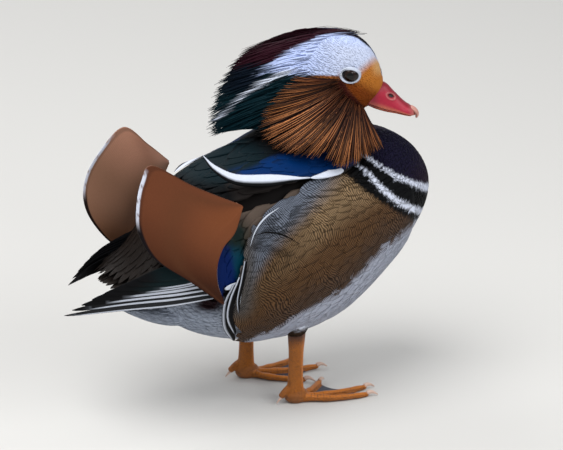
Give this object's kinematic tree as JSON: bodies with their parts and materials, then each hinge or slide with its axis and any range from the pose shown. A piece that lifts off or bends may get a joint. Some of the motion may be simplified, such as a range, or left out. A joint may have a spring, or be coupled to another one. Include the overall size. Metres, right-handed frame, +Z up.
{
  "type": "mandarin duck",
  "caption": "Mandarin drake standing at rest, wings folded with raised orange sail feathers, crest and chestnut ruff, head turned to its right.",
  "frame": {"origin": "on the floor under the centre of the bird's bounding box", "axes": "+X is the way the breast points, +Y is the bird's left, +Z is up"},
  "size_m": [0.259, 0.1074, 0.233],
  "materials": {
    "head_plumage": "short dense feathers, white band over golden cheek",
    "crest_plumage": "long glossy feathers, maroon over blue-black and dark teal",
    "ruff_plumage": "pointed chestnut hackles with fine golden shafts",
    "body_plumage": "smooth dark purple breast with white stripes, white belly, brown back",
    "flank_plumage": "golden buff with fine wavy dark lines and a black and white rear edge",
    "wing_plumage": "dark grey-brown coverts with a blue and teal gloss",
    "sail_plumage": "satin cinnamon orange with a pale trailing margin",
    "primary_plumage": "dark webs with silver-white outer edges",
    "scapular_plumage": "brown and deep blue with a white and black crescent",
    "tail_plumage": "dark brown-grey vanes",
    "undertail_plumage": "soft greyish white feathers",
    "eye": "wet dark brown with a black pupil",
    "bill_skin": "crimson pink, slightly waxy",
    "bill_nail": "pale pinkish horn",
    "leg_skin": "scaly orange skin with blue-grey webs",
    "claw": "pale pinkish-grey horn"
  },
  "bodies": {
    "root": {"bill_lower": "bill_skin", "bill_nail": "bill_nail", "bill_upper": "bill_skin", "claw_left_1": "claw", "claw_left_2": "claw", "claw_left_3": "claw", "claw_left_4": "claw", "claw_right_1": "claw", "claw_right_2": "claw", "claw_right_3": "claw", "claw_right_4": "claw", "crest": "crest_plumage", "eye_left": "eye", "eye_right": "eye", "flank_left": "flank_plumage", "flank_right": "flank_plumage", "foot_left": "leg_skin", "foot_right": "leg_skin", "hallux_left": "leg_skin", "hallux_right": "leg_skin", "head": "head_plumage", "neck": "body_plumage", "primaries_left": "primary_plumage", "primaries_right": "primary_plumage", "ruff_left": "ruff_plumage", "ruff_right": "ruff_plumage", "sail_left": "sail_plumage", "sail_right": "sail_plumage", "scapulars_left": "scapular_plumage", "scapulars_right": "scapular_plumage", "tail": "tail_plumage", "tarsus_left": "leg_skin", "tarsus_right": "leg_skin", "torso": "body_plumage", "undertail": "undertail_plumage", "wing_left": "wing_plumage", "wing_right": "wing_plumage"}
  },
  "joints": []
}
